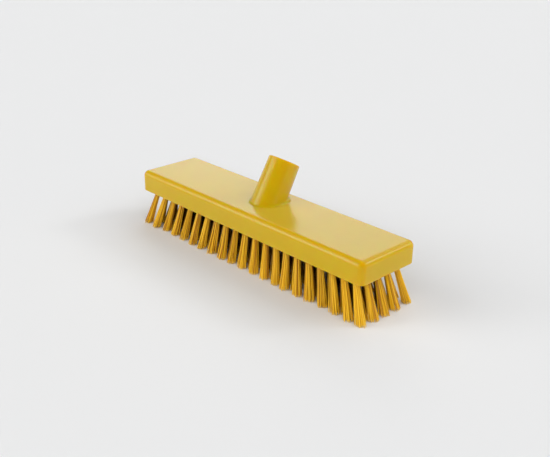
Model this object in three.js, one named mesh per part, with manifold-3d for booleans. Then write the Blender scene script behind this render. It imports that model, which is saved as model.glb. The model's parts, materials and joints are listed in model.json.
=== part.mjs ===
// Deck brush head: a moulded block with a leaning handle socket, and rows of splayed bristle tufts below it.
// Millimetres, +Z up. The origin is on the floor under the middle of the block, +X runs along the block,
// and +Y points to the side that the socket leans to.
import * as THREE from "three";
import { mergeVertices } from "three/addons/utils/BufferGeometryUtils.js";
import Module from "manifold-3d";

const wasm = await Module();
wasm.setup();

// Block
const blockLength = 305;
const blockWidth = 72;
const blockThickness = 21.5;
const cornerRadius = 6; // upright corners, seen from above
const topEdgeRadius = 5.6;
const bottomEdgeRadius = 0.8;

// Handle socket
const socketLean = THREE.MathUtils.degToRad(29.5); // from upright
const socketLength = 41.5; // from the block's top to the mouth, along the socket's axis
const socketBaseDiameter = 33; // where the axis meets the block's top
const socketMouthDiameter = 31.3;
const socketSetback = 3.6; // from the middle of the block's top to the socket's axis
const socketRimRadius = 1.2;
const socketFilletRadius = 3;
const boreDiameter = 23;
const boreChamfer = 1;
const boreFloor = 5; // least plastic between the bore and the tufts' backing

// Tufts
const tuftColumns = 21; // along the block, in the outer rows
const tuftLines = 9; // rows across the block; every other one stands half a pitch aside, with one tuft fewer
const endInset = 14.5; // from the middle of the end tufts to the end of the block
const sideInset = 10.4; // from the middle of the outer tufts to the side of the block
const bristleLength = 39; // from the block's underside to the floor
const endSplay = 13.1; // how far the end tufts reach outwards on their way to the floor
const sideSplay = 5.1; // the same for the outer rows
const tuftHoleDiameter = 5.6; // across the corners
const tuftHoleDepth = 2.5; // open part of the hole, below the root of the strands
const tuftTipDiameter = 9.3;
const outerRowStrands = 3; // round the middle strand of a tuft in the outer rows
const innerRowStrands = 1; // the same in the rows between
const strandRootRadius = 1.1; // at the block's underside
const strandTipRadius = 2.05;
const strandClearance = 0.1; // inside the mouth of the tuft hole
const strandSeat = 1; // how deep a strand runs into the backing
const strandSides = 3;
const strandTurn = THREE.MathUtils.degToRad(47); // each tuft is turned this much from the one before it

// Backing slices that carry the tufts, and the steel anchors in them
const sliceThickness = 9;
const sliceMargin = 5.2; // past the middle of the outermost tufts
const sliceClearance = 0.3; // to the block and to each other
const anchorWidth = 4.6;
const anchorHeight = 2.4;
const anchorThickness = 0.5;
const anchorClearance = 0.3;

// Facets
const cornerSteps = 6;
const edgeSteps = 5;
const smallEdgeSteps = 2;
const socketSides = 40;
const filletSteps = 3;
const tuftHoleSides = 6;
const weldDistance = 1e-4;
const cutOvershoot = 1; // how far a cutting shape runs past the face that it opens
const filletSink = 0.05; // how far the fillet's edges lie inside the faces that they meet
const filletRoot = 1; // how far the hidden side of the fillet lies inside the plastic
const leastCornerRadius = 0.2;

// Levels and the tuft pattern, from the sizes above
const underside = bristleLength;
const blockTop = underside + blockThickness;
const sliceTop = underside + sliceThickness;
const pocketTop = sliceTop + sliceClearance;
const endX = blockLength / 2 - endInset;
const outerY = blockWidth / 2 - sideInset;
const rowYs = spread(tuftLines, outerY);
const splitY = (rowYs.at(-1) + rowYs.at(-2)) / 2; // between the outer row and the next

const blockFinish = { color: 0xd9a916, roughness: 0.42, metalness: 0 };
const bristleFinish = { color: 0xd99f1f, roughness: 0.55, metalness: 0 };
const anchorFinish = { color: 0xb9bcc0, roughness: 0.3, metalness: 1 };

// Evenly spaced places from one side of the middle to the other.
function spread(count, reach) {
  return Array.from({ length: count }, (_, i) => reach * ((2 * i) / (count - 1) - 1));
}

// The places along the block of one row's tufts.
function rowXs(row) {
  const short = row % 2;
  return spread(tuftColumns - short, endX * (1 - short / (tuftColumns - 1)));
}

// A closed solid from a geometry whose surface is closed.
function solidOf(geometry) {
  const bare = geometry.clone();
  bare.deleteAttribute("normal");
  bare.deleteAttribute("uv");
  const welded = mergeVertices(bare, weldDistance);
  const vertProperties = welded.getAttribute("position").array;
  const triVerts = new Uint32Array(welded.index.array);
  return new wasm.Manifold(new wasm.Mesh({ numProp: 3, vertProperties, triVerts }));
}

function geometryOf(solid) {
  const { vertProperties, triVerts } = solid.getMesh();
  const geometry = new THREE.BufferGeometry();
  geometry.setAttribute("position", new THREE.BufferAttribute(vertProperties, 3));
  geometry.setIndex(new THREE.BufferAttribute(triVerts, 1));
  geometry.computeVertexNormals();
  return geometry;
}

function joined(solids) {
  return solids.reduce((whole, solid) => whole.add(solid));
}

function piece(name, geometry, finish) {
  const mesh = new THREE.Mesh(geometry, new THREE.MeshStandardMaterial(finish));
  mesh.name = name;
  return mesh;
}

// A box between two corners.
function boxBetween(low, high) {
  const size = new THREE.Vector3().subVectors(high, low);
  const middle = new THREE.Vector3().addVectors(low, high).multiplyScalar(0.5);
  return new THREE.BoxGeometry(size.x, size.y, size.z).translate(middle.x, middle.y, middle.z);
}

// A skin over rings of equal count, each running counter-clockwise as seen from the ring after it.
// An open run of rings gets a flat end at each side, and a closed run comes back to its first ring.
function skin(rings, closed) {
  const count = rings[0].length;
  const faces = [];
  const spans = closed ? rings.length : rings.length - 1;
  for (let ring = 0; ring < spans; ring++) {
    const here = ring * count;
    const next = ((ring + 1) % rings.length) * count;
    for (let i = 0; i < count; i++) {
      const j = (i + 1) % count;
      faces.push(here + i, here + j, next + j, here + i, next + j, next + i);
    }
  }
  if (!closed) {
    const last = (rings.length - 1) * count;
    for (let i = 1; i + 1 < count; i++) {
      faces.push(0, i + 1, i, last, last + i, last + i + 1);
    }
  }
  const geometry = new THREE.BufferGeometry().setFromPoints(rings.flat());
  geometry.setIndex(faces);
  return geometry;
}

// A level regular polygon.
function polygon(middle, radius, sides, turn) {
  return Array.from({ length: sides }, (_, i) => {
    const angle = turn + (i * 2 * Math.PI) / sides;
    return new THREE.Vector3(radius * Math.cos(angle), radius * Math.sin(angle), 0).add(middle);
  });
}

// The block's outline at one height, drawn in by inset all round.
function blockRing(inset, z) {
  const radius = Math.max(cornerRadius - inset, leastCornerRadius);
  const x = blockLength / 2 - inset - radius;
  const y = blockWidth / 2 - inset - radius;
  const corners = [
    [x, y],
    [-x, y],
    [-x, -y],
    [x, -y],
  ];
  return corners.flatMap(([cx, cy], corner) =>
    Array.from({ length: cornerSteps + 1 }, (_, i) => {
      const angle = (corner + i / cornerSteps) * (Math.PI / 2);
      return new THREE.Vector3(cx + radius * Math.cos(angle), cy + radius * Math.sin(angle), z);
    }),
  );
}

// The solid block, with a small radius round the underside and a large one round the top.
function roundedBlock() {
  const rings = [];
  for (let i = 0; i <= smallEdgeSteps; i++) {
    const angle = (i / smallEdgeSteps) * (Math.PI / 2);
    const inset = bottomEdgeRadius * (1 - Math.sin(angle));
    rings.push(blockRing(inset, underside + bottomEdgeRadius * (1 - Math.cos(angle))));
  }
  for (let i = 0; i <= edgeSteps; i++) {
    const angle = (i / edgeSteps) * (Math.PI / 2);
    const inset = topEdgeRadius * (1 - Math.cos(angle));
    rings.push(blockRing(inset, blockTop - topEdgeRadius * (1 - Math.sin(angle))));
  }
  return solidOf(skin(rings, false));
}

// The socket's axis: its foot on the block's top, its direction, and two directions square to it.
const socketFoot = new THREE.Vector3(0, socketSetback, blockTop);
const socketAxis = new THREE.Vector3(0, Math.sin(socketLean), Math.cos(socketLean));
const socketSide = new THREE.Vector3(1, 0, 0);
const socketBack = new THREE.Vector3().crossVectors(socketAxis, socketSide);

// The tapered wall's radius at a distance along the axis from the block's top.
function socketRadius(along) {
  return THREE.MathUtils.lerp(socketBaseDiameter, socketMouthDiameter, along / socketLength) / 2;
}

function socketPoint(outwards, radius, along) {
  return socketFoot.clone().addScaledVector(outwards, radius).addScaledVector(socketAxis, along);
}

// A profile of (radius, distance along the axis) points turned round the socket's axis.
function turnedOnSocket(profile) {
  const lathe = new THREE.LatheGeometry(profile, socketSides);
  lathe.rotateX(Math.PI / 2 - socketLean);
  lathe.translate(socketFoot.x, socketFoot.y, socketFoot.z);
  return solidOf(lathe);
}

// The socket as a solid stub that starts deep enough in the block for its foot to be inside all round.
function socketStub() {
  const start = -(socketBaseDiameter / 2) * Math.tan(socketLean) - cutOvershoot;
  const shoulder = socketLength - socketRimRadius;
  const profile = [new THREE.Vector2(0, start), new THREE.Vector2(socketRadius(start), start)];
  for (let i = 0; i <= edgeSteps; i++) {
    const angle = (i / edgeSteps) * (Math.PI / 2);
    const radius = socketRadius(shoulder) - socketRimRadius * (1 - Math.cos(angle));
    profile.push(new THREE.Vector2(radius, shoulder + socketRimRadius * Math.sin(angle)));
  }
  profile.push(new THREE.Vector2(0, socketLength));
  return turnedOnSocket(profile);
}

// The fillet that a ball leaves when it rolls round the socket's foot, touching the wall and the block's top.
function socketFillet() {
  const up = new THREE.Vector3(0, 0, 1);
  const sections = [];
  for (let i = 0; i < socketSides; i++) {
    const angle = (i / socketSides) * 2 * Math.PI;
    const outwards = new THREE.Vector3();
    outwards.addScaledVector(socketSide, Math.cos(angle)).addScaledVector(socketBack, Math.sin(angle));
    const along = (radius, height) => (height - radius * outwards.z) / socketAxis.z;
    const wall = socketRadius(along(socketBaseDiameter / 2, socketFilletRadius));
    const ballRadius = wall + socketFilletRadius;
    const ball = socketPoint(outwards, ballRadius, along(ballRadius, socketFilletRadius));
    const sweep = Math.acos(outwards.z);
    const section = [];
    for (let step = 0; step <= filletSteps; step++) {
      const share = step / filletSteps;
      const sink = step === 0 || step === filletSteps ? filletSink : 0;
      const reach = (socketFilletRadius + sink) / Math.sin(sweep);
      const touch = ball.clone().addScaledVector(outwards, -reach * Math.sin((1 - share) * sweep));
      section.push(touch.addScaledVector(up, -reach * Math.sin(share * sweep)));
    }
    const rootRadius = wall - filletRoot;
    section.push(socketPoint(outwards, rootRadius, along(rootRadius, -filletRoot)));
    sections.push(section);
  }
  return solidOf(skin(sections, true));
}

// The blind bore for the handle, with a chamfered mouth, stopping short of the tufts' backing.
function socketBore() {
  const radius = boreDiameter / 2;
  const lowest = pocketTop + boreFloor + radius * Math.sin(socketLean);
  const floor = (lowest - blockTop) / socketAxis.z;
  const profile = [
    new THREE.Vector2(0, floor),
    new THREE.Vector2(radius, floor),
    new THREE.Vector2(radius, socketLength - boreChamfer),
    new THREE.Vector2(radius + boreChamfer, socketLength),
    new THREE.Vector2(radius + boreChamfer, socketLength + cutOvershoot),
    new THREE.Vector2(0, socketLength + cutOvershoot),
  ];
  return turnedOnSocket(profile);
}

// The space in the block's underside for the slices.
function slicePocket() {
  const reach = sliceMargin + sliceClearance;
  const low = new THREE.Vector3(-endX - reach, -outerY - reach, underside - cutOvershoot);
  const high = new THREE.Vector3(endX + reach, outerY + reach, pocketTop);
  return solidOf(boxBetween(low, high));
}

function brushBlock() {
  const solid = joined([roundedBlock(), socketStub(), socketFillet()]);
  const moulding = solid.subtract(slicePocket()).subtract(socketBore());
  return piece("brush_block", geometryOf(moulding), blockFinish);
}

// The middle of a tuft at a height: it leans outwards on its way down, the more so the further out it stands.
function tuftMiddle(x, y, z) {
  const fall = (underside - z) / bristleLength;
  return new THREE.Vector3(x + (endSplay * fall * x) / endX, y + (sideSplay * fall * y) / outerY, z);
}

// The mouth of a tuft's hole, leaning as the tuft does.
function tuftHole(x, y) {
  const rings = [underside - cutOvershoot, underside + tuftHoleDepth].map((z) => {
    const middle = tuftMiddle(x, y, z);
    return polygon(middle, tuftHoleDiameter / 2, tuftHoleSides, 0);
  });
  return solidOf(skin(rings, false));
}

// One strand from the floor, where the tuft is trimmed level, to its seat in the backing.
// It stands in a given direction from the tuft's middle, and drifts that way as it falls.
function strand(x, y, rootOffset, tipOffset, direction, turn) {
  const seat = underside + tuftHoleDepth + strandSeat;
  const rings = [0, seat].map((z) => {
    const fall = (underside - z) / bristleLength;
    const offset = THREE.MathUtils.lerp(rootOffset, tipOffset, fall);
    const radius = THREE.MathUtils.lerp(strandRootRadius, strandTipRadius, fall);
    const middle = tuftMiddle(x, y, z);
    middle.x += offset * Math.cos(direction);
    middle.y += offset * Math.sin(direction);
    return polygon(middle, radius, strandSides, turn);
  });
  return solidOf(skin(rings, false));
}

// A middle strand with others round it, tight in the hole and spread at the tip.
function tuftStrands(x, y, tuftTurn, strandsRound) {
  const holeReach = (tuftHoleDiameter / 2) * Math.cos(Math.PI / tuftHoleSides);
  const rootOffset = holeReach - strandRootRadius - strandClearance;
  const tipOffset = tuftTipDiameter / 2 - strandTipRadius;
  const between = Math.PI / strandsRound;
  const strands = [strand(x, y, 0, 0, 0, tuftTurn + between)];
  for (let i = 0; i < strandsRound; i++) {
    const direction = tuftTurn + 2 * i * between;
    strands.push(strand(x, y, rootOffset, tipOffset, direction, direction));
  }
  return strands;
}

// The place of an anchor, across the fold of its tuft at the top of the slice.
function anchorMiddle(x, y) {
  return tuftMiddle(x, y, sliceTop - anchorHeight / 2);
}

function anchorSlot(x, y) {
  const middle = anchorMiddle(x, y);
  const reach = new THREE.Vector3(anchorWidth, anchorThickness, anchorHeight).multiplyScalar(0.5);
  reach.addScalar(anchorClearance);
  const low = middle.clone().sub(reach);
  const high = middle.clone().add(reach);
  high.z = sliceTop + cutOvershoot;
  return solidOf(boxBetween(low, high));
}

// Some rows of tufts, fused to the slice of the block's underside that holds them.
// The outer rows, which show, have open hole mouths, slots for their anchors and fuller tufts.
function tuftRows(name, rows, lowY, highY, outer) {
  const low = new THREE.Vector3(-endX - sliceMargin, lowY, underside);
  const high = new THREE.Vector3(endX + sliceMargin, highY, sliceTop);
  const strandsRound = outer ? outerRowStrands : innerRowStrands;
  let slice = solidOf(boxBetween(low, high));
  const strands = [];
  for (const row of rows) {
    const y = rowYs[row];
    rowXs(row).forEach((x, column) => {
      if (outer) {
        slice = slice.subtract(tuftHole(x, y)).subtract(anchorSlot(x, y));
      }
      strands.push(...tuftStrands(x, y, (row * tuftColumns + column) * strandTurn, strandsRound));
    });
  }
  return piece(name, geometryOf(joined([slice, ...strands])), bristleFinish);
}

// One steel strip for each tuft of a row, each its own piece.
function anchors(label, row) {
  const group = new THREE.Group();
  rowXs(row).forEach((x, column) => {
    const strip = new THREE.BoxGeometry(anchorWidth, anchorThickness, anchorHeight);
    const number = String(column + 1).padStart(2, "0");
    const anchor = piece(`anchor_${label}_${number}`, strip, anchorFinish);
    anchor.position.copy(anchorMiddle(x, rowYs[row]));
    group.add(anchor);
  });
  return group;
}

const frontRow = 0;
const rearRow = rowYs.length - 1;
const innerRows = rowYs.map((_, row) => row).slice(1, -1);
const outerEdge = outerY + sliceMargin;
const splitGap = sliceClearance / 2;

const deckBrush = new THREE.Group();
deckBrush.add(brushBlock());
deckBrush.add(tuftRows("front_tuft_row", [frontRow], -outerEdge, -splitY - splitGap, true));
deckBrush.add(tuftRows("inner_tuft_rows", innerRows, -splitY + splitGap, splitY - splitGap, false));
deckBrush.add(tuftRows("rear_tuft_row", [rearRow], splitY + splitGap, outerEdge, true));
deckBrush.add(anchors("front", frontRow));
deckBrush.add(anchors("rear", rearRow));

export default deckBrush;
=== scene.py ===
"""Looks of a deck brush head.

A moulded block with a leaning, threaded handle socket stands on nine staggered rows of splayed bristle tufts.
Lengths are in millimetres up to the point where a mesh is made, and Blender's own unit is the metre.
"""
import json
import logging
import math
from dataclasses import dataclass
from enum import Enum

import bmesh
import bpy
import numpy as np
from mathutils import Matrix, Vector


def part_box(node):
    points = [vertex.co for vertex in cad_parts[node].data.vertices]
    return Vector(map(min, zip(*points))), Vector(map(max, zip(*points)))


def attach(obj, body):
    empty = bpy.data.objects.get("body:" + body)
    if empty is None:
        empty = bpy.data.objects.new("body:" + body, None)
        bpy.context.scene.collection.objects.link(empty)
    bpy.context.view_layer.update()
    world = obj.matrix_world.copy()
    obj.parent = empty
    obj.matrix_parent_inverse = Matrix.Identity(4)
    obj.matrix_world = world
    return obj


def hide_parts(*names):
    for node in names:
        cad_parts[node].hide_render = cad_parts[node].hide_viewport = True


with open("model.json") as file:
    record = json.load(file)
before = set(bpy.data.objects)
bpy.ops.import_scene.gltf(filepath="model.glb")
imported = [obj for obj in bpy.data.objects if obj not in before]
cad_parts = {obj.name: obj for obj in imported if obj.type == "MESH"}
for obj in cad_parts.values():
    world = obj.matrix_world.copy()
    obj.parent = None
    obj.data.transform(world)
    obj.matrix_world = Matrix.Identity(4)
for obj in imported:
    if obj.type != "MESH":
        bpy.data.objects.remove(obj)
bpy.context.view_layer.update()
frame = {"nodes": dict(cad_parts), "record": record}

MM = 0.001
WELD_DISTANCE = 2e-6  # metres
CREASE_ANGLE = math.radians(38)
FILAMENT_CREASE_ANGLE = math.radians(80)
MERGE_MARGIN = 0.01  # millimetres
GOLDEN_ANGLE = math.pi * (3 - math.sqrt(5))
LOWEST_CORNER = -0.75 * math.pi  # direction from a square's middle to its lowest corner
NOISE_RANGE = (0.3, 0.7)  # where most of a noise texture's values lie
BODY = "root"
LOG = logging.getLogger("deck_brush")


class Slot(Enum):
    """Material slots of the record."""

    BLOCK = "block_plastic"
    BRISTLE = "bristle"
    ANCHOR = "anchor_steel"


class TuftRow(Enum):
    """Groups of tuft rows, each named as the node that it stands for."""

    FRONT = "front_tuft_row"
    INNER = "inner_tuft_rows"
    REAR = "rear_tuft_row"


class Attribute(Enum):
    """Values that the bristles carry on their points."""

    TONE = "filament_tone"
    FALL = "filament_fall"
    # Mask of the painted shade between the inner tufts.
    PAINTED_SHADE = "filament_painted_shade"


def ease(value: np.ndarray, low: float, high: float) -> np.ndarray:
    """Rise smoothly from 0 at one value to 1 at another.

    The share t of the way from low to high, kept between 0 and 1, is bent to 3 t squared minus 2 t cubed.

    Args:
        value: Values to judge.
        low: Value that gives 0.
        high: Value that gives 1.

    Returns:
        Eased shares, shaped as the values are.
    """
    share = np.clip((value - low) / (high - low), 0.0, 1.0)
    return share * share * (3 - 2 * share)


def arc(centre: tuple[float, float], radius: float, start: float, end: float, steps: int) -> np.ndarray:
    """Sample a round stretch of a profile.

    Each point lies the radius away from the centre, at angles that go evenly from start to end.

    Args:
        centre: Middle of the circle, in the profile's two directions.
        radius: Radius of the circle.
        start: First angle, in degrees.
        end: Last angle, in degrees.
        steps: Number of chords.

    Returns:
        Profile points as (steps + 1, 2).
    """
    angle = np.radians(np.linspace(start, end, steps + 1))
    return np.array(centre) + radius * np.stack([np.cos(angle), np.sin(angle)], axis=-1)


def divided(lines: np.ndarray, steps: int) -> np.ndarray:
    """Split each span between grid lines evenly, so that neighbouring surfaces share their points.

    Args:
        lines: Rising places of the grid lines.
        steps: Number of parts of each span.

    Returns:
        Places of the lines and of the points between them.
    """
    count = np.arange((len(lines) - 1) * steps + 1) / steps
    return np.interp(count, np.arange(len(lines)), lines)


def rectangle_sides(xs: np.ndarray, ys: np.ndarray) -> list[np.ndarray]:
    """Walk along the sides of a rectangle, counter-clockwise from its lowest corner.

    Args:
        xs: Rising places of the points on the sides along X.
        ys: Rising places of the points on the sides along Y.

    Returns:
        The four sides as (count, 2), each with both its corners.
    """
    return [
        np.stack([xs, np.full_like(xs, ys[0])], axis=-1),
        np.stack([np.full_like(ys, xs[-1]), ys], axis=-1),
        np.stack([xs[::-1], np.full_like(xs, ys[-1])], axis=-1),
        np.stack([np.full_like(ys, xs[0]), ys[::-1]], axis=-1),
    ]


def rectangle_ring(xs: np.ndarray, ys: np.ndarray) -> np.ndarray:
    """Walk once round a rectangle, meeting each corner once."""
    return np.concatenate([side[:-1] for side in rectangle_sides(xs, ys)])


def ring_angles(count: int) -> np.ndarray:
    """Give the angles that pair a circle with a square ring, from the lowest corner round."""
    return LOWEST_CORNER + np.arange(count) * 2 * math.pi / count


@dataclass
class Patch:
    """A surface, or a batch of equal ones, sampled on a grid.

    Attributes:
        points: Points in millimetres as (..., rows, columns, 3).
        closed: Whether the last column joins the first.
    """

    points: np.ndarray
    closed: bool = False

    @property
    def size(self) -> int:
        """Count the points."""
        return self.points[..., 0].size

    def quads(self, first: int) -> np.ndarray:
        """Number the corners of the grid's cells.

        Args:
            first: Number of the patch's first point in the joined mesh.

        Returns:
            Point numbers as (cells, 4).
        """
        rows, columns = self.points.shape[-3:-1]
        number = first + np.arange(self.size).reshape(-1, rows, columns)
        if self.closed:
            number = np.concatenate([number, number[:, :, :1]], axis=2)
        cells = [number[:, :-1, :-1], number[:, :-1, 1:], number[:, 1:, 1:], number[:, 1:, :-1]]
        return np.stack(cells, axis=-1).reshape(-1, 4)


def level_sheet(xs: np.ndarray, ys: np.ndarray, height: float) -> Patch:
    """Lay a flat sheet over every pair of places along and across.

    Args:
        xs: Places along X.
        ys: Places along Y.
        height: Height of the sheet.

    Returns:
        The sheet.
    """
    plan = np.stack(np.meshgrid(xs, ys, indexing="ij"), axis=-1)
    level = np.full(plan.shape[:2] + (1,), height)
    return Patch(np.concatenate([plan, level], axis=-1))


def ruled_band(start: np.ndarray, end: np.ndarray, shares: tuple[float, ...]) -> Patch:
    """Draw straight lines from one ring to another: start plus a share of the way to the end.

    Args:
        start: First ring as (count, 3).
        end: Last ring, with as many points.
        shares: Where the rings between them lie, with 0 for the first ring and 1 for the last.

    Returns:
        The closed band.
    """
    return Patch(start + np.array(shares)[:, None, None] * (end - start), closed=True)


def mesh_of(name: str, points: np.ndarray, faces: list[np.ndarray]) -> bpy.types.Mesh:
    """Put points and faces into a new mesh.

    Args:
        name: Name of the mesh.
        points: Points in millimetres as (count, 3).
        faces: Point numbers, one array for each number of corners.

    Returns:
        The mesh, in metres and smooth.
    """
    mesh = bpy.data.meshes.new(name)
    corners = np.concatenate([group.ravel() for group in faces]).astype(np.int32)
    sizes = np.concatenate([np.full(len(group), group.shape[1]) for group in faces])
    mesh.vertices.add(len(points))
    mesh.vertices.foreach_set("co", (points * MM).astype(np.float32).ravel())
    mesh.loops.add(len(corners))
    mesh.loops.foreach_set("vertex_index", corners)
    mesh.polygons.add(len(sizes))
    mesh.polygons.foreach_set("loop_start", (np.cumsum(sizes) - sizes).astype(np.int32))
    mesh.update(calc_edges=True)
    mesh.shade_smooth()
    return mesh


def welded(name: str, patches: list[Patch]) -> bpy.types.Mesh:
    """Join patches into one closed skin.

    Points that patches share are merged, which also closes rows that end in one point. The faces are then
    turned outwards.

    Args:
        name: Name of the mesh.
        patches: Surfaces that meet along their edges.

    Returns:
        The joined mesh, smooth apart from its creases.
    """
    firsts = np.cumsum([0] + [patch.size for patch in patches])
    points = np.concatenate([patch.points.reshape(-1, 3) for patch in patches])
    quads = [patch.quads(first) for patch, first in zip(patches, firsts)]
    mesh = mesh_of(name, points, [np.concatenate(quads)])
    work = bmesh.new()
    work.from_mesh(mesh)
    bmesh.ops.remove_doubles(work, verts=work.verts, dist=WELD_DISTANCE)
    bmesh.ops.recalc_face_normals(work, faces=work.faces)
    work.to_mesh(mesh)
    work.free()
    mesh.set_sharp_from_angle(angle=CREASE_ANGLE)
    return mesh


def placed(mesh: bpy.types.Mesh, material: bpy.types.Material, node: str) -> bpy.types.Object:
    """Set a finished mesh into the frame in place of a node.

    Args:
        mesh: Mesh in the frame's own coordinates.
        material: Its finish.
        node: Node that the piece stands for.

    Returns:
        The new piece.
    """
    piece = bpy.data.objects.new(mesh.name, mesh)
    bpy.context.scene.collection.objects.link(piece)
    mesh.materials.append(material)
    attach(piece, BODY)
    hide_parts(node)
    return piece


@dataclass
class BlockForm:
    """Outside of the moulded block.

    Attributes:
        length: Along X.
        width: Along Y.
        underside: Height of the flat underside.
        top: Height of the flat top.
        corner_radius: Upright corners, seen from above.
        top_radius: Round-over of the top.
        bottom_radius: Softened edge of the underside.
        corner_steps: Chords on each upright corner.
        round_steps: Chords on the round-over.
        edge_steps: Chords on the softened edge.
        flank: How far from a round stretch the flat beside it is divided, which keeps its shading flat.
    """

    length: float
    width: float
    underside: float
    top: float
    corner_radius: float = 6.0
    top_radius: float = 5.6
    bottom_radius: float = 0.8
    corner_steps: int = 10
    round_steps: int = 12
    edge_steps: int = 4
    flank: float = 0.3

    @property
    def core(self) -> tuple[float, float]:
        """Half sizes of the rectangle that the upright corners are drawn from."""
        return self.length / 2 - self.corner_radius, self.width / 2 - self.corner_radius

    def profile(self) -> np.ndarray:
        """Give the side's section, from the flat underside to the flat top.

        Returns:
            (reach outwards from the core, height) points.
        """
        low = (self.corner_radius - self.bottom_radius, self.underside + self.bottom_radius)
        high = (self.corner_radius - self.top_radius, self.top - self.top_radius)
        under = [(0.0, self.underside), (low[0] - self.flank, self.underside)]
        wall = [(self.corner_radius, low[1] + self.flank), (self.corner_radius, high[1] - self.flank)]
        runs = [
            under,
            arc(low, self.bottom_radius, -90, 0, self.edge_steps),
            wall,
            arc(high, self.top_radius, 0, 90, self.round_steps),
            [(0.0, self.top)],
        ]
        return np.concatenate(runs)

    def outline(self, xs: np.ndarray, ys: np.ndarray) -> tuple[np.ndarray, np.ndarray]:
        """Walk round the core, turning through a quarter circle on the spot at each corner.

        Args:
            xs: Rising places of the points on the long sides.
            ys: Rising places of the points on the short sides.

        Returns:
            Points of the core's edge and the outward direction at each, both as (count, 2).
        """
        turn = np.radians(np.arange(1, self.corner_steps) * 90 / self.corner_steps)
        places, angles = [], []
        for quarter, side in enumerate(rectangle_sides(xs, ys)):
            facing = (quarter - 1) * math.pi / 2
            places += [side, np.repeat(side[-1:], len(turn), axis=0)]
            angles += [np.full(len(side), facing), facing + turn]
        angle = np.concatenate(angles)
        return np.concatenate(places), np.stack([np.cos(angle), np.sin(angle)], axis=-1)

    def sides(self, xs: np.ndarray, ys: np.ndarray) -> Patch:
        """Carry the side's section round the core: core point plus reach times the outward direction.

        Args:
            xs: Rising places of the points on the long sides.
            ys: Rising places of the points on the short sides.

        Returns:
            The closed band from the flat underside to the flat top.
        """
        place, outwards = self.outline(xs, ys)
        reach, height = self.profile().T
        plan = place + reach[:, None, None] * outwards
        level = np.broadcast_to(height[:, None, None], plan.shape[:2] + (1,))
        return Patch(np.concatenate([plan, level], axis=-1), closed=True)


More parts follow.
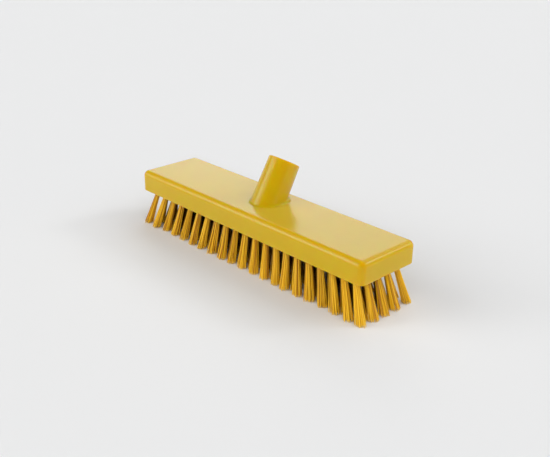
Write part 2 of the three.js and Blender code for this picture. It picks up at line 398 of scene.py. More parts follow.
@dataclass
class HandleSocket:
    """Leaning tube on the block's top that a screw-in handle goes into.

    Attributes:
        mouth: Middle of the mouth.
        axis: Direction from the foot to the mouth.
        length: From the block's top to the mouth, along the axis.
        base_radius: Outside, where the axis meets the block's top.
        mouth_radius: Outside at the mouth.
        rim_radius: Rounding of the mouth's outer edge.
        fillet_radius: Ball that blends the foot into the block's top.
        bore_radius: Crests of the thread.
        lead_radius: Rounding at the mouth of the bore.
        bore_depth: From the mouth to the bore's floor.
        thread_pitch: Climb of the thread in one turn.
        thread_depth: From the crests to the roots.
        thread_step: Distance of the bore's rings.
        groove_span: Cosines of the turn round the helix between which a groove deepens.
        lead_in: Where the thread deepens below the mouth, in pitches.
        run_out: Where it has faded out above the bore's floor, in pitches.
        floor_rings: Radii of the rings on the bore's floor, as shares of the bore's.
        wall_shares: Where rings divide the wall, close to its ends to keep its shading even.
        rim_steps: Parts of the mouth's flat ring.
        round_steps: Chords on a rounding.
    """

    mouth: np.ndarray
    axis: np.ndarray
    length: float = 41.5
    base_radius: float = 16.5
    mouth_radius: float = 15.65
    rim_radius: float = 1.2
    fillet_radius: float = 3.0
    bore_radius: float = 11.5
    lead_radius: float = 1.0
    bore_depth: float = 43.27
    thread_pitch: float = 5.0
    thread_depth: float = 1.0
    thread_step: float = 0.45
    groove_span: tuple[float, float] = (-0.5, 0.7)
    lead_in: tuple[float, float] = (0.4, 1.2)
    run_out: tuple[float, float] = (0.6, 1.6)
    floor_rings: tuple[float, ...] = (0.97, 0.6, 0.0)
    wall_shares: tuple[float, ...] = (0.0, 0.02, 0.25, 0.5, 0.75, 0.98, 1.0)
    rim_steps: int = 4
    round_steps: int = 8

    @property
    def foot(self) -> np.ndarray:
        """Point where the axis meets the block's top."""
        return self.mouth - self.length * self.axis

    def outwards(self, angle: np.ndarray) -> np.ndarray:
        """Give directions square to the axis: cosine times +X plus sine times the axis crossed with +X."""
        side = np.array([1.0, 0.0, 0.0])
        return np.cos(angle)[:, None] * side + np.sin(angle)[:, None] * np.cross(self.axis, side)

    def wall_radius(self, along: np.ndarray) -> np.ndarray:
        """Give the tapered wall's radius, which changes evenly along the axis."""
        return self.base_radius + (self.mouth_radius - self.base_radius) * along / self.length

    def fillet(self, angle: np.ndarray) -> Patch:
        """Roll a ball round the foot so that it touches the wall and the block's top.

        The ball's middle is one ball radius above the top and one ball radius off the wall. The surface turns
        about that middle from straight down to straight at the wall.

        Args:
            angle: Angles round the axis.

        Returns:
            The band from the block's top to the wall.
        """
        out = self.outwards(angle)
        ball = self.fillet_radius
        rise = (ball - self.base_radius * out[:, 2]) / self.axis[2]
        radius = self.wall_radius(rise) + ball
        along = (ball - radius * out[:, 2]) / self.axis[2]
        middle = self.foot + radius[:, None] * out + along[:, None] * self.axis
        sweep = np.arccos(out[:, 2])[:, None]
        share = np.linspace(0, 1, self.round_steps + 1)[:, None, None]
        down = np.sin((1 - share) * sweep) * np.array([0.0, 0.0, 1.0])
        inwards = np.sin(share * sweep) * out
        return Patch(middle - ball * (down + inwards) / np.sin(sweep), closed=True)

    def turned(self, radius: np.ndarray, along: np.ndarray, angle: np.ndarray) -> np.ndarray:
        """Turn a profile round the axis: foot plus distance along the axis plus radius times outwards."""
        return self.foot + along[..., None] * self.axis + radius[..., None] * self.outwards(angle)

    def rim(self, angle: np.ndarray) -> Patch:
        """Turn the mouth's section: rounded outer edge, flat ring and rounded lead into the bore.

        Args:
            angle: Angles round the axis.

        Returns:
            The band from the outer wall to the bore.
        """
        shoulder = self.length - self.rim_radius
        edge = float(self.wall_radius(np.array(shoulder))) - self.rim_radius
        lead = self.bore_radius + self.lead_radius
        flat = np.linspace((edge, self.length), (lead, self.length), self.rim_steps + 1)[1:-1]
        runs = [
            arc((edge, shoulder), self.rim_radius, 0, 90, self.round_steps),
            flat,
            arc((lead, self.length - self.lead_radius), self.lead_radius, 90, 180, self.round_steps),
        ]
        radius, along = np.concatenate(runs).T
        return Patch(self.turned(radius[:, None], along[:, None], angle), closed=True)

    def bore(self, angle: np.ndarray) -> Patch:
        """Sink the threaded bore and close it with a flat floor.

        The radius swells by the thread's depth where the helix, the distance along the axis divided by the
        pitch less the share of a turn, is near a whole number, and the thread fades out at both ends.

        Args:
            angle: Angles round the axis.

        Returns:
            The band from the rim to the middle of the floor.
        """
        start = self.length - self.lead_radius
        floor = self.length - self.bore_depth
        count = round((start - floor) / self.thread_step)
        along = np.linspace(start, floor, count + 1)[:, None]
        helix = along / self.thread_pitch - angle / (2 * math.pi)
        groove = ease(np.cos(2 * math.pi * helix), *self.groove_span)
        fade = ease((start - along) / self.thread_pitch, *self.lead_in)
        fade = fade * ease((along - floor) / self.thread_pitch, *self.run_out)
        radius = self.bore_radius + self.thread_depth * groove * fade
        disc = self.bore_radius * np.array(self.floor_rings)[:, None]
        radius = np.concatenate([radius, np.broadcast_to(disc, (len(disc), len(angle)))])
        along = np.concatenate([along, np.full((len(disc), 1), floor)])
        return Patch(self.turned(radius, along, angle), closed=True)

    def patches(self, angle: np.ndarray) -> list[Patch]:
        """Stack the socket's bands from its foot to the bore's floor, each starting where the last one ends.

        Args:
            angle: Angles round the axis.

        Returns:
            Fillet, tapered wall, rim and bore.
        """
        fillet, rim = self.fillet(angle), self.rim(angle)
        wall = ruled_band(fillet.points[-1], rim.points[0], self.wall_shares)
        return [fillet, wall, rim, self.bore(angle)]


@dataclass
class TuftPattern:
    """Places and lean of the tufts.

    The lines across the block are staggered: every other one stands half a pitch aside and has one tuft less.
    Each tuft leans outwards on its way down, in proportion to its distance from the middle of the block.

    Attributes:
        block: Block that the tufts stand in.
        columns: Tufts in the outer lines.
        lines: Lines of tufts across the block.
        end_inset: From the middle of the end tufts to the end of the block.
        side_inset: From the middle of the outer tufts to the side of the block.
        end_splay: How far the end tufts reach outwards on their way to the floor.
        side_splay: The same for the outer lines.
        hole_radius: Drilled hole of each tuft.
        hole_depth: From the underside to the end of the hole.
        hole_bevel: Broken edge of the hole.
        hole_flank: How far from the hole the flat round it is divided, which keeps its shading flat.
        field_steps: Parts of each side of the field round a hole.
    """

    block: BlockForm
    columns: int = 21
    lines: int = 9
    end_inset: float = 14.5
    side_inset: float = 10.4
    end_splay: float = 13.1
    side_splay: float = 5.1
    hole_radius: float = 2.8
    hole_depth: float = 9.2
    hole_bevel: float = 0.2
    hole_flank: float = 0.1
    field_steps: int = 4

    @property
    def end(self) -> float:
        """Place of the end tufts along the block."""
        return self.block.length / 2 - self.end_inset

    @property
    def half_pitch(self) -> float:
        """Half the distance of neighbours in a line."""
        return self.end / (self.columns - 1)

    def line_places(self) -> np.ndarray:
        """Give the lines' even places across the block."""
        side = self.block.width / 2 - self.side_inset
        return np.linspace(-side, side, self.lines)

    def tuft_places(self, line: int) -> np.ndarray:
        """Spread one line's tufts evenly along the block.

        Args:
            line: Line of tufts, counted from the front.

        Returns:
            Rising places along the block.
        """
        short = line % 2
        reach = self.end - short * self.half_pitch
        return np.linspace(-reach, reach, self.columns - short)

    def long_points(self) -> np.ndarray:
        """Divide the core's long side so that the fields of all lines share their points.

        Returns:
            Rising places along the block, from one edge of the core to the other.
        """
        reach = self.end + self.half_pitch
        even = np.linspace(-reach, reach, self.columns * self.field_steps + 1)
        edge = self.block.core[0]
        return np.concatenate([[-edge], even, [edge]])

    def line_edges(self) -> np.ndarray:
        """Give the edges midway between the lines, with the core's edges as the outermost ones."""
        place, edge = self.line_places(), self.block.core[1]
        return np.concatenate([[-edge], (place[1:] + place[:-1]) / 2, [edge]])

    def short_points(self) -> np.ndarray:
        """Divide the core's short side so that neighbouring lines' fields share their points."""
        return divided(self.line_edges(), self.field_steps)

    def roots(self, lines: list[int]) -> tuple[np.ndarray, np.ndarray]:
        """List the tufts of some lines.

        Args:
            lines: Lines of tufts, counted from the front.

        Returns:
            The tufts' places along the block and across it, at the underside.
        """
        x = [self.tuft_places(line) for line in lines]
        y = np.repeat(self.line_places()[lines], [len(line) for line in x])
        return np.concatenate(x), y

    def painted_shade_mask(self, lines: list[int]) -> np.ndarray:
        """Give the mask of painted shade: how far within the pattern the tufts of some lines stand.

        Args:
            lines: Lines of tufts, counted from the front.

        Returns:
            0 for a tuft in an outer line or at an end, rising to 1 at a pitch from the end.
        """
        x, y = self.roots(lines)
        painted_shade_amount = np.minimum((self.end - np.abs(x)) / (2 * self.half_pitch), 1)
        return np.where(np.abs(y) > self.line_places()[-1] - MERGE_MARGIN, 0.0, painted_shade_amount)

    def middle(self, x: np.ndarray, y: np.ndarray, z: np.ndarray) -> np.ndarray:
        """Find the tufts' middles at a height.

        The shift is the splay times the share of the fall to the floor, times the tuft's share of the way
        from the middle of the block to its outermost tufts.

        Args:
            x: Places along the block, at the underside.
            y: Places across it.
            z: Heights.

        Returns:
            Points as the arguments' common shape plus 3.
        """
        fall = (self.block.underside - z) / self.block.underside
        x_there = x * (1 + self.end_splay * fall / self.end)
        y_there = y * (1 + self.side_splay * fall / self.line_places()[-1])
        return np.stack(np.broadcast_arrays(x_there, y_there, z), axis=-1)

    def fields(self, line: int) -> Patch:
        """Give each tuft of a line its field: a rectangle that narrows to the mouth of a blind hole.

        The rings go from the rectangle to circles about the tuft's leaning middle, and end in one point.

        Args:
            line: Line of tufts, counted from the front.

        Returns:
            A batch of fields, one for each tuft.
        """
        x, y = self.tuft_places(line), self.line_places()[line]
        low, high = self.line_edges()[line : line + 2]
        step = np.linspace(0, 1, self.field_steps + 1)
        unit = rectangle_ring(step, step)
        border_x = x[:, None] + self.half_pitch * (2 * unit[:, 0] - 1)
        border_y = np.broadcast_to(low + (high - low) * unit[:, 1], border_x.shape)
        border = np.stack([border_x, border_y, np.full_like(border_x, self.block.underside)], axis=-1)
        bevel = self.hole_radius + self.hole_bevel
        floor = self.block.underside + self.hole_depth
        sections = np.array([
            (bevel + self.hole_flank, self.block.underside),
            (bevel, self.block.underside),
            (self.hole_radius, self.block.underside + self.hole_bevel),
            (self.hole_radius, floor),
            (0.0, floor),
        ])
        angle = ring_angles(len(unit))
        ring = np.stack([np.cos(angle), np.sin(angle), np.zeros_like(angle)], axis=-1)
        middle = self.middle(x[:, None], y, sections[:, 1])
        circles = middle[:, :, None] + sections[:, 0, None, None] * ring
        return Patch(np.concatenate([border[:, None], circles], axis=1), closed=True)

    def underside(self) -> list[Patch]:
        """Cover the core's underside: a row of fields for each line, and plain sheets beyond its end tufts.

        Returns:
            Surfaces that meet each other and the sides.
        """
        patches = []
        points, edges = self.long_points(), self.line_edges()
        for line in range(self.lines):
            patches.append(self.fields(line))
            reach = self.tuft_places(line)[-1] + self.half_pitch
            across = np.linspace(edges[line], edges[line + 1], self.field_steps + 1)
            beyond = points[points > reach - MERGE_MARGIN]
            for span in (beyond, -beyond[::-1]):
                patches.append(level_sheet(span, across, self.block.underside))
        return patches


@dataclass
class BrushBlock:
    """The one-piece moulding: block, handle socket and tuft holes.

    Attributes:
        form: Outside of the block.
        socket: Handle socket.
        tufts: Pattern of the tuft holes.
        top_shares: Where rings divide the flat top, on the way from a rectangle to the socket's foot.
        node: Node that the moulding stands for.
    """

    form: BlockForm
    socket: HandleSocket
    tufts: TuftPattern
    top_shares: tuple[float, ...] = (0.0, 0.25, 0.5, 0.75, 0.96, 1.0)
    node: str = "brush_block"

    def top(self, xs: np.ndarray, ys: np.ndarray, foot: np.ndarray) -> list[Patch]:
        """Lay the flat top round the socket's foot.

        Two plain sheets cover the ends. Between them, straight lines run from a rectangle to the ring where
        the fillet touches the top.

        Args:
            xs: Points on the core's long sides.
            ys: Points on its short sides.
            foot: Ring of the fillet on the top.

        Returns:
            Three surfaces that meet the sides and the fillet.
        """
        steps = len(ys) - 1
        start = (len(xs) - 1 - steps) // 2
        plan = rectangle_ring(xs[start : start + steps + 1], ys)
        border = np.column_stack([plan, np.full(len(plan), self.form.top)])
        sheets = [level_sheet(span, ys, self.form.top) for span in (xs[: start + 1], xs[start + steps :])]
        return sheets + [ruled_band(border, foot, self.top_shares)]

    def build(self, material: bpy.types.Material) -> bpy.types.Object:
        """Weld the moulding's surfaces and set it in place.

        Args:
            material: Finish of the moulding.

        Returns:
            The piece.
        """
        xs, ys = self.tufts.long_points(), self.tufts.short_points()
        tube = self.socket.patches(ring_angles(4 * (len(ys) - 1)))
        top = self.top(xs, ys, tube[0].points[0])
        mesh = welded("moulded_block", [self.form.sides(xs, ys), *self.tufts.underside(), *top, *tube])
        return placed(mesh, material, self.node)


@dataclass(frozen=True)
class TuftMake:
    """How the tufts of some rows are made.

    Attributes:
        tip: Reach of a tuft's outermost filaments at the floor.
        drift: Random sideways reach of a whole tuft's tip.
        sides: Corners of a filament's section.
        spans: Parts of a filament below the underside.
    """

    tip: float
    drift: float
    sides: int
    spans: int


@dataclass
class BristleRows:
    """Tufts of stiff filament, trimmed level with the floor.

    Attributes:
        tufts: Pattern that the tufts stand on.
        filaments: Filaments in each tuft.
        filament_radius: Radius of one.
        root_height: From the underside up to where a filament ends in its hole.
        outer: Make of the front and rear rows, which are the ones that show.
        inner: Make of the rows between.
        spread_power: How late a tuft opens out on its way down.
        drift: Random sideways reach of a tip.
        bow: Random bend half-way down.
        stray_share: Share of filaments that stand out of their tuft.
        stray_drift: How much further those drift.
        trim: Random shortness of a tip.
        trim_limit: The most that it may be, in times its usual size.
        seed: Start of the random draws.
    """

    tufts: TuftPattern
    filaments: int = 36
    filament_radius: float = 0.40
    root_height: float = 6.4
    outer: TuftMake = TuftMake(tip=4.6, drift=0.8, sides=5, spans=4)
    inner: TuftMake = TuftMake(tip=5.4, drift=1.0, sides=4, spans=3)
    spread_power: float = 1.6
    drift: float = 0.3
    bow: float = 0.3
    stray_share: float = 0.03
    stray_drift: float = 3.0
    trim: float = 0.35
    trim_limit: float = 3.0
    seed: int = 11

    def lines_of(self, row: TuftRow) -> list[int]:
        """List the lines of a group of rows, counted from the front."""
        last = self.tufts.lines - 1
        return {TuftRow.FRONT: [0], TuftRow.INNER: list(range(1, last)), TuftRow.REAR: [last]}[row]

    def points(self, row: TuftRow, rng: np.random.Generator) -> tuple[np.ndarray, np.ndarray]:
        """Sweep a small polygon down every filament.

        In a tuft the filaments are spread evenly over a disc: the one numbered k stands at the square root of
        its share of the count, turned by k golden angles. The disc grows from the hole's size to the tip's,
        and random drift and a half sine wave of bow are added on the way down.

        Args:
            row: Group of rows to fill.
            rng: Source of the random draws.

        Returns:
            Points as (tufts, filaments, rings, sides, 3), and each ring's share of the fall to the floor.
        """
        pattern = self.tufts
        make = self.inner if row is TuftRow.INNER else self.outer
        x, y = (place[:, None, None] for place in pattern.roots(self.lines_of(row)))
        shape = (x.shape[0], self.filaments, 1)
        level = pattern.block.underside
        tip = np.minimum(np.abs(rng.normal(0, self.trim, shape)), self.trim_limit * self.trim)
        share = np.concatenate([[-self.root_height / level], np.linspace(0, 1, make.spans + 1)])
        height = np.where(share < 0, level * (1 - share), level + (tip - level) * share)
        fall = np.clip((level - height) / level, 0, 1)
        count = np.arange(self.filaments)[:, None]
        reach = np.sqrt((count + 0.5) / self.filaments)
        angle = count * GOLDEN_ANGLE + rng.uniform(0, 2 * math.pi, (x.shape[0], 1, 1))
        hole_reach = pattern.hole_radius - self.filament_radius
        opening = hole_reach + (make.tip - hole_reach) * fall**self.spread_power
        stray = np.where(rng.random(shape) < self.stray_share, self.stray_drift, 1.0)
        shifts = []
        for turn in (np.cos, np.sin):
            shift = reach * opening * turn(angle)
            shift = shift + fall * stray * rng.normal(0, self.drift, shape)
            shift = shift + fall * rng.normal(0, make.drift, (x.shape[0], 1, 1))
            shifts.append(shift + np.sin(math.pi * fall) * rng.normal(0, self.bow, shape))
        middle = pattern.middle(x, y, height)
        middle[..., 0] += shifts[0]
        middle[..., 1] += shifts[1]
        corner = np.arange(make.sides) * 2 * math.pi / make.sides + rng.uniform(0, 2 * math.pi, shape)
        section = np.stack([np.cos(corner), np.sin(corner), np.zeros_like(corner)], axis=-1)
        return middle[..., None, :] + self.filament_radius * section[:, :, None], fall

    def build(self, row: TuftRow, material: bpy.types.Material) -> bpy.types.Object:
        """Make one group of rows as a mesh whose points know their filament's tone, fall and mask of painted
        shade.

        Args:
            row: Group to make.
            material: Finish of the filaments.

        Returns:
            The piece.
        """
        rng = np.random.default_rng([self.seed, list(TuftRow).index(row)])
        points, fall = self.points(row, rng)
        number = np.arange(points[..., 0].size).reshape(-1, *points.shape[2:4])
        patch = Patch(points[..., ::-1, :], closed=True)
        ends = np.concatenate([number[:, 0, ::-1], number[:, -1]])
        name = row.value.replace("tuft", "bristle")
        mesh = mesh_of(name, patch.points.reshape(-1, 3), [patch.quads(0), ends])
        mesh.set_sharp_from_angle(angle=FILAMENT_CREASE_ANGLE)
        values = {
            Attribute.TONE: rng.random(points.shape[:2])[..., None, None],
            Attribute.FALL: fall[..., None],
            # Mask of painted shade: 0 on the outer tufts, up to 1 well within the pattern.
            Attribute.PAINTED_SHADE: self.tufts.painted_shade_mask(self.lines_of(row))[:, None, None, None],
        }
        for attribute, value in values.items():
            layer = mesh.attributes.new(attribute.value, "FLOAT", "POINT")
            spread = np.broadcast_to(value, points.shape[:-1]).astype(np.float32)
            layer.data.foreach_set("value", spread.ravel())
        return placed(mesh, material, row.value)


class Wiring:
    """A node tree that is being filled."""

    def __init__(self, tree: bpy.types.NodeTree) -> None:
        """Start with an empty tree."""
        self.tree = tree
        tree.nodes.clear()

    def add(self, kind: str, inputs: dict | None = None, **settings: object) -> bpy.types.Node:
        """Add a node.

        Args:
            kind: Blender's name of the node type.
            inputs: Sockets by name or number, each with a value or with the socket that feeds it.
            **settings: Properties of the node.

        Returns:
            The node.
        """
        node = self.tree.nodes.new(kind)
        for name, value in settings.items():
            setattr(node, name, value)
        for key, value in (inputs or {}).items():
            if isinstance(value, bpy.types.NodeSocket):
                self.tree.links.new(value, node.inputs[key])
            else:
                node.inputs[key].default_value = value
        return node

    def mix(self, share: bpy.types.NodeSocket, first: object, second: object) -> bpy.types.NodeSocket:
        """Blend two colours, each a value or a socket, by a share from 0, the first, to 1, the second."""
        node = self.add("ShaderNodeMix", {0: share, 6: first, 7: second}, data_type="RGBA")
        return node.outputs[2]

    def span(self, value: bpy.types.NodeSocket, start: tuple, end: tuple) -> bpy.types.NodeSocket:
        """Map a value from the range that goes in to the one that comes out, and keep it there."""
        inputs = {"Value": value, 1: start[0], 2: start[1], 3: end[0], 4: end[1]}
        return self.add("ShaderNodeMapRange", inputs).outputs[0]

    def mottle(
        self, group: bpy.types.NodeTree, place: bpy.types.NodeSocket, grain: float, cloud: float = 0.0
    ) -> bpy.types.NodeOutputs:
        """Add the shared effect of an uneven surface, with so many grains and clouds of tone in a metre."""
        inputs = {"Vector": place, "Cloud Scale": cloud, "Grain Scale": grain}
        return self.add("ShaderNodeGroup", inputs, node_tree=group).outputs


def mottle_group() -> bpy.types.NodeTree:
    """Make the shared effect of an uneven surface: soft clouds of tone and a fine grain.

    Returns:
        Node group with Vector, Cloud Scale and Grain Scale going in, and Cloud and Grain coming out.
    """
    tree = bpy.data.node_groups.new("surface_mottle", "ShaderNodeTree")
    octaves = {"Cloud": 3.0, "Grain": 2.0}
    tree.interface.new_socket("Vector", in_out="INPUT", socket_type="NodeSocketVector")
    for name in octaves:
        tree.interface.new_socket(f"{name} Scale", in_out="INPUT", socket_type="NodeSocketFloat")
    for name in octaves:
        tree.interface.new_socket(name, in_out="OUTPUT", socket_type="NodeSocketFloat")
    wiring = Wiring(tree)
    given = wiring.add("NodeGroupInput").outputs
    noise = {}
    for name, detail in octaves.items():
        inputs = {"Vector": given["Vector"], "Scale": given[f"{name} Scale"], "Detail": detail}
        noise[name] = wiring.add("ShaderNodeTexNoise", inputs).outputs["Fac"]
    even = wiring.span(noise["Cloud"], NOISE_RANGE, (0.0, 1.0))
    wiring.add("NodeGroupOutput", {"Cloud": even, "Grain": noise["Grain"]})
    return tree


def started(name: str) -> tuple[bpy.types.Material, Wiring]:
    """Begin a material.

    Args:
        name: Name of the finish.

    Returns:
        The material and its empty wiring.
    """
    material = bpy.data.materials.new(name)
    material.use_nodes = True
    return material, Wiring(material.node_tree)


@dataclass(frozen=True)
class MouldedPlastic:
    """Satin polypropylene, coloured right through.

    Attributes:
        deep: Colour where the pigment looks full.
        pale: Colour where it looks washed.
        smooth: Roughness of the glossiest places.
        rough: Roughness of the dullest.
        gloss: Level of the mirror reflection.
        gloss_tint: Its colour.
        sheen: Soft bloom of the surface where it is seen aslant.
        sheen_roughness: How widely that bloom spreads.
        haze: Share of the light that goes into the plastic and comes out nearby.
        haze_reach: How far its red, green and blue go, as shares of the depth.
        haze_depth: That depth, in metres.
        cloud_scale: Clouds of tone in a metre.
        grain_scale: Grains in a metre.
        grain_height: Depth of the grain, in metres.
        grain_strength: How much of that the light shows.
    """

    deep: tuple = (0.566, 0.372, 0.001, 1)
    pale: tuple = (0.590, 0.394, 0.002, 1)
    smooth: float = 0.19
    rough: float = 0.25
    gloss: float = 0.27
    gloss_tint: tuple = (0.40, 0.98, 1.0, 1)
    sheen: float = 0.15
    sheen_roughness: float = 0.4
    haze: float = 0.85
    haze_reach: tuple = (1.0, 0.25, 0.05)
    haze_depth: float = 0.014
    cloud_scale: float = 22.0
    grain_scale: float = 1500.0
    grain_height: float = 0.00004
    grain_strength: float = 0.35

    def material(self, mottle: bpy.types.NodeTree) -> bpy.types.Material:
        """Wire the finish.

        Args:
            mottle: Shared group of clouds and grain.

        Returns:
            The material.
        """
        material, wiring = started("moulded_plastic")
        place = wiring.add("ShaderNodeTexCoord").outputs["Object"]
        uneven = wiring.mottle(mottle, place, self.grain_scale, self.cloud_scale)
        colour = wiring.mix(uneven["Cloud"], self.deep, self.pale)
        roughness = wiring.span(uneven["Cloud"], (0.0, 1.0), (self.smooth, self.rough))
        bump = wiring.add("ShaderNodeBump", {
            "Strength": self.grain_strength,
            "Distance": self.grain_height,
            "Height": uneven["Grain"],
        })
        shader = wiring.add("ShaderNodeBsdfPrincipled", {
            "Base Color": colour,
            "Roughness": roughness,
            "Normal": bump.outputs[0],
            "Specular IOR Level": self.gloss,
            "Specular Tint": self.gloss_tint,
            "Sheen Weight": self.sheen,
            "Sheen Roughness": self.sheen_roughness,
            "Subsurface Weight": self.haze,
            "Subsurface Radius": self.haze_reach,
            "Subsurface Scale": self.haze_depth,
        })
        wiring.add("ShaderNodeOutputMaterial", {"Surface": shader.outputs[0]})
        return material


@dataclass(frozen=True)
class BristleFilament:
    """Drawn polyester filament, coloured right through.

    Attributes:
        deep: Colour of the darkest filaments.
        pale: Colour of the palest.
        streaked: Share of the filaments that are darker than the palest.
        cut: Colour of the trimmed ends.
        painted_shade_colour: Painted shade, a dark colour put on the filaments deep between the tufts, where
            the dense filaments of a real brush keep light out.
        roughness: Lowest and highest roughness.
        grain_scale: Grains in a metre.
        cut_start: Share of the fall where the paler end begins.
        painted_shade_end: Share of the fall where the painted shade begins to fade.
        painted_shade_share: How much of the painted shade shows above that, and how much at the tip.
    """

    deep: tuple = (0.46, 0.165, 0.002, 1)
    pale: tuple = (0.97, 0.585, 0.016, 1)
    streaked: float = 0.45
    cut: tuple = (0.82, 0.560, 0.130, 1)
    painted_shade_colour: tuple = (0.200, 0.084, 0.006, 1)
    roughness: tuple = (0.38, 0.52)
    grain_scale: float = 900.0
    cut_start: float = 0.94
    painted_shade_end: float = 0.75
    painted_shade_share: tuple = (0.75, 0.05)

    def material(self, mottle: bpy.types.NodeTree) -> bpy.types.Material:
        """Wire the finish.

        Args:
            mottle: Shared group of clouds and grain.

        Returns:
            The material.
        """
        material, wiring = started("bristle_filament")
        place = wiring.add("ShaderNodeTexCoord").outputs["Object"]
        uneven = wiring.mottle(mottle, place, self.grain_scale)
        tone, fall, painted_shade_mask = (
            wiring.add("ShaderNodeAttribute", attribute_name=attribute.value).outputs["Fac"]
            for attribute in (Attribute.TONE, Attribute.FALL, Attribute.PAINTED_SHADE)
        )
        streak = wiring.span(tone, (0.0, self.streaked), (0.0, 1.0))
        body = wiring.mix(streak, self.deep, self.pale)
        end = wiring.span(fall, (self.cut_start, 1.0), (0.0, 1.0))
        # Painted shade: the inner filaments darken towards their roots, standing in for the shade between the
        # tufts.
        shade = wiring.span(fall, (self.painted_shade_end, 1.0), self.painted_shade_share)
        painted_shade_amount = wiring.add("ShaderNodeMath", {0: painted_shade_mask, 1: shade}, operation="MULTIPLY").outputs[0]
        colour = wiring.mix(painted_shade_amount, wiring.mix(end, body, self.cut), self.painted_shade_colour)
        roughness = wiring.span(uneven["Grain"], NOISE_RANGE, self.roughness)
        shader = wiring.add("ShaderNodeBsdfPrincipled", {"Base Color": colour, "Roughness": roughness})
        wiring.add("ShaderNodeOutputMaterial", {"Surface": shader.outputs[0]})
        return material


@dataclass(frozen=True)
class SteelStrip:
    """Rolled stainless strip, with marks along its length.

    Attributes:
        dark: Colour in the roll marks.
        bright: Colour between them.
        roughness: Lowest and highest roughness.
        stretch: How many times closer the marks lie across the strip than along it.
        cloud_scale: Clouds of tone in a metre.
        grain_scale: Grains in a metre.
    """

    dark: tuple = (0.46, 0.47, 0.48, 1)
    bright: tuple = (0.62, 0.63, 0.64, 1)
    roughness: tuple = (0.24, 0.42)
    stretch: float = 12.0
    cloud_scale: float = 300.0
    grain_scale: float = 1200.0

    def material(self, mottle: bpy.types.NodeTree) -> bpy.types.Material:
        """Wire the finish.

        Args:
            mottle: Shared group of clouds and grain.

        Returns:
            The material.
        """
        material, wiring = started("rolled_steel_strip")
        place = wiring.add("ShaderNodeTexCoord").outputs["Object"]
        drawn = wiring.add("ShaderNodeMapping", {"Vector": place, "Scale": (1.0, self.stretch, self.stretch)})
        uneven = wiring.mottle(mottle, drawn.outputs[0], self.grain_scale, self.cloud_scale)
        colour = wiring.mix(uneven["Cloud"], self.dark, self.bright)
        roughness = wiring.span(uneven["Grain"], NOISE_RANGE, self.roughness)
        shader = wiring.add(
            "ShaderNodeBsdfPrincipled", {"Base Color": colour, "Roughness": roughness, "Metallic": 1.0}
        )
        wiring.add("ShaderNodeOutputMaterial", {"Surface": shader.outputs[0]})
        return material


@dataclass
class AnchorStrips:
    """Steel strips that hold the tufts at the deep end of their holes."""

    prefix: str = "anchor_"

    def dress(self, material: bpy.types.Material) -> int:
        """Give every strip its finish.

        Args:
            material: Finish of the strips.

        Returns:
            How many strips there are.
        """
        strips = [node for name, node in frame["nodes"].items() if name.startswith(self.prefix)]
        for strip in strips:
            strip.data.materials.clear()
            strip.data.materials.append(material)
        return len(strips)


@dataclass(frozen=True)
class SoftLamp:
    """A wide lamp far away.

    Attributes:
        name: Name of the lamp.
        azimuth: Where it stands, in degrees from +X towards +Y.
        elevation: Height above the floor, in degrees.
        spread: Width of its disc, in degrees.
        share: How much of full light it gives a level surface.
        mirrored: Whether it shows in gloss, as a bare lamp does and a fill light behind cloth doesn't.
    """

    name: str
    azimuth: float
    elevation: float
    spread: float
    share: float
    mirrored: bool = True

    def build(self) -> None:
        """Hang the lamp so that its light falls towards the origin."""
        lamp = bpy.data.lights.new(self.name, "SUN")
        lamp.energy = math.pi * self.share / math.sin(math.radians(self.elevation))
        lamp.angle = math.radians(self.spread)
        holder = bpy.data.objects.new(self.name, lamp)
        holder.visible_glossy = self.mirrored
        around, up = math.radians(self.azimuth), math.radians(self.elevation)
        level = math.cos(up)
        towards = Vector((level * math.cos(around), level * math.sin(around), math.sin(up)))
        holder.rotation_euler = towards.to_track_quat("Z", "Y").to_euler()
        bpy.context.scene.collection.objects.link(holder)


@dataclass(frozen=True)
class Viewpoint:
    """Camera that looks at the middle of the block's underside.

    Attributes:
        azimuth: Degrees that the camera stands round from the front, towards +X.
        elevation: Degrees above the floor.
        roll: Degrees that the picture is turned.
        distance: To the point aimed at.
        aim: Shift of the camera to its right and up.
        focal_pixels: Focal length in pixels of the picture.
        picture_width: Width of the picture in pixels.
        sensor_width: Width of the sensor.
        nearest: Distance in metres at which the camera begins to see.
    """

    azimuth: float = 45.7259
    elevation: float = 23.5603
    roll: float = 0.9673
    distance: float = 801.485
    aim: tuple[float, float] = (8.9893, -6.1187)
    focal_pixels: float = 825.13
    picture_width: int = 550
    sensor_width: float = 36.0
    nearest: float = 0.01

    def build(self, height: float) -> None:
        """Set up the camera.

        Args:
            height: Height of the point aimed at.
        """
        around, up = math.radians(self.azimuth), math.radians(self.elevation)
        back = Vector((math.sin(around) * math.cos(up), -math.cos(around) * math.cos(up), math.sin(up)))
        right = Vector((0, 0, 1)).cross(back).normalized()
        above = back.cross(right)
        turn = Matrix.Rotation(math.radians(self.roll), 3, back)
        right, above = turn @ right, turn @ above
        place = back * self.distance + right * self.aim[0] + above * self.aim[1] + Vector((0, 0, height))
        pose = Matrix((right, above, back)).transposed().to_4x4()
        pose.translation = place * MM
        data = bpy.data.cameras.new("photo_view")
        data.sensor_width = self.sensor_width
        data.sensor_fit = "HORIZONTAL"
        data.lens = self.sensor_width * self.focal_pixels / self.picture_width
        data.clip_start = self.nearest
        camera = bpy.data.objects.new("photo_view", data)
        camera.matrix_world = pose
        bpy.context.scene.collection.objects.link(camera)
        bpy.context.scene.camera = camera


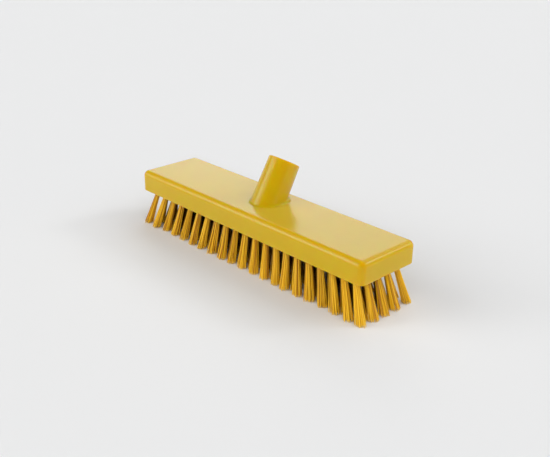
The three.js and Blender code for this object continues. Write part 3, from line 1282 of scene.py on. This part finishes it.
@dataclass
class Studio:
    """Pale floor, even surrounding light and wide lamps.

    Attributes:
        floor_reach: Half the side of the flat floor, in metres.
        middle_share: Share of it that is a single face, so that the cove's shading stops short of the brush.
        cove_width: How much further the floor goes on as it curves up, in metres.
        cove_height: How high it rises there.
        cove_steps: Chords on that curve.
        floor_tone: How much light the floor gives back.
        surround: Level of the light from all sides.
        lamps: Wide lamps.
    """

    floor_reach: float = 4.0
    middle_share: float = 0.9
    cove_width: float = 3.0
    cove_height: float = 1.2
    cove_steps: int = 8
    floor_tone: tuple = (0.805, 0.808, 0.811, 1)
    surround: float = 0.05
    lamps: tuple[SoftLamp, ...] = (
        SoftLamp("left_softbox", azimuth=230.0, elevation=27.0, spread=46.0, share=0.17),
        SoftLamp("left_strip", azimuth=229.0, elevation=19.0, spread=18.0, share=0.035),
        SoftLamp("right_strip", azimuth=53.0, elevation=31.0, spread=13.0, share=0.075),
        SoftLamp("back_softbox", azimuth=136.0, elevation=25.0, spread=28.0, share=0.053),
        SoftLamp("high_softbox", azimuth=95.0, elevation=50.0, spread=46.0, share=0.14),
        SoftLamp("front_fill", azimuth=298.0, elevation=32.0, spread=80.0, share=0.21, mirrored=False),
        SoftLamp("right_fill", azimuth=355.0, elevation=32.0, spread=76.0, share=0.19, mirrored=False),
        SoftLamp("side_fill", azimuth=40.0, elevation=44.0, spread=46.0, share=0.095, mirrored=False),
    )

    def floor(self) -> None:
        """Lay a square floor whose rim curves up, so that a low view still ends in it.

        The height is a quarter ellipse over the larger of the distances along and across.
        """
        turn = np.linspace(0, math.pi / 2, self.cove_steps + 1)
        cove = self.floor_reach + self.cove_width * np.sin(turn)
        run = np.append(self.middle_share * self.floor_reach, cove)
        plan = np.stack(np.meshgrid(*[np.append(-run[::-1], run)] * 2), axis=-1)
        share = (np.abs(plan).max(axis=-1, keepdims=True) - self.floor_reach) / self.cove_width
        height = self.cove_height * (1 - np.sqrt(1 - np.clip(share, 0, 1) ** 2))
        patch = Patch(np.concatenate([plan, height], axis=-1) / MM)
        mesh = mesh_of("pale_floor", patch.points.reshape(-1, 3), [patch.quads(0)])
        material, wiring = started("pale_floor")
        shader = wiring.add("ShaderNodeBsdfDiffuse", {"Color": self.floor_tone})
        wiring.add("ShaderNodeOutputMaterial", {"Surface": shader.outputs[0]})
        mesh.materials.append(material)
        floor = bpy.data.objects.new("pale_floor", mesh)
        bpy.context.scene.collection.objects.link(floor)

    def sky(self) -> None:
        """Light the scene evenly from all sides."""
        world = bpy.data.worlds.new("even_light")
        world.use_nodes = True
        wiring = Wiring(world.node_tree)
        light = wiring.add("ShaderNodeBackground", {"Color": (1, 1, 1, 1), "Strength": self.surround})
        wiring.add("ShaderNodeOutputWorld", {"Surface": light.outputs[0]})
        bpy.context.scene.world = world

    def build(self) -> None:
        """Set up floor, surrounding light, lamps and colour handling."""
        bpy.context.scene.view_settings.view_transform = "Standard"
        self.floor()
        self.sky()
        for lamp in self.lamps:
            lamp.build()


def frame_forms() -> tuple[BlockForm, HandleSocket]:
    """Read the block's size and the socket's place from the frame.

    Returns:
        The block's outside and the socket.
    """
    low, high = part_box("brush_block")
    mount = next(mount for mount in frame["record"]["mounts"] if mount["name"] == "socket_mouth")
    axis = np.array(mount["axis"])
    mouth = np.array(mount["pos_m"]) / MM
    mouth[0] = 0.0  # the mount's point is on the rim, straight along X from the mouth's middle
    socket = HandleSocket(mouth=mouth, axis=axis / np.linalg.norm(axis))
    # The socket leans out past the +Y side, so the block's width comes from the other one.
    block = BlockForm(
        length=(high.x - low.x) / MM,
        width=-2 * low.y / MM,
        underside=low.z / MM,
        top=float(socket.foot[2]),
    )
    return block, socket


def main() -> None:
    """Build the brush, piece by piece, and the studio round it."""
    logging.basicConfig(level=logging.INFO, format="%(name)s: %(message)s")
    block, socket = frame_forms()
    pattern = TuftPattern(block)
    mottle = mottle_group()

    moulding = BrushBlock(block, socket, pattern).build(MouldedPlastic().material(mottle))
    LOG.info("%s: %d faces", moulding.name, len(moulding.data.polygons))

    rows = BristleRows(pattern)
    filament = BristleFilament().material(mottle)
    for row in TuftRow:
        piece = rows.build(row, filament)
        LOG.info("%s: %d faces", piece.name, len(piece.data.polygons))

    strips = AnchorStrips().dress(SteelStrip().material(mottle))
    LOG.info("anchor strips: %d", strips)

    Studio().build()
    Viewpoint().build(block.underside)


if __name__ == "__main__":
    main()
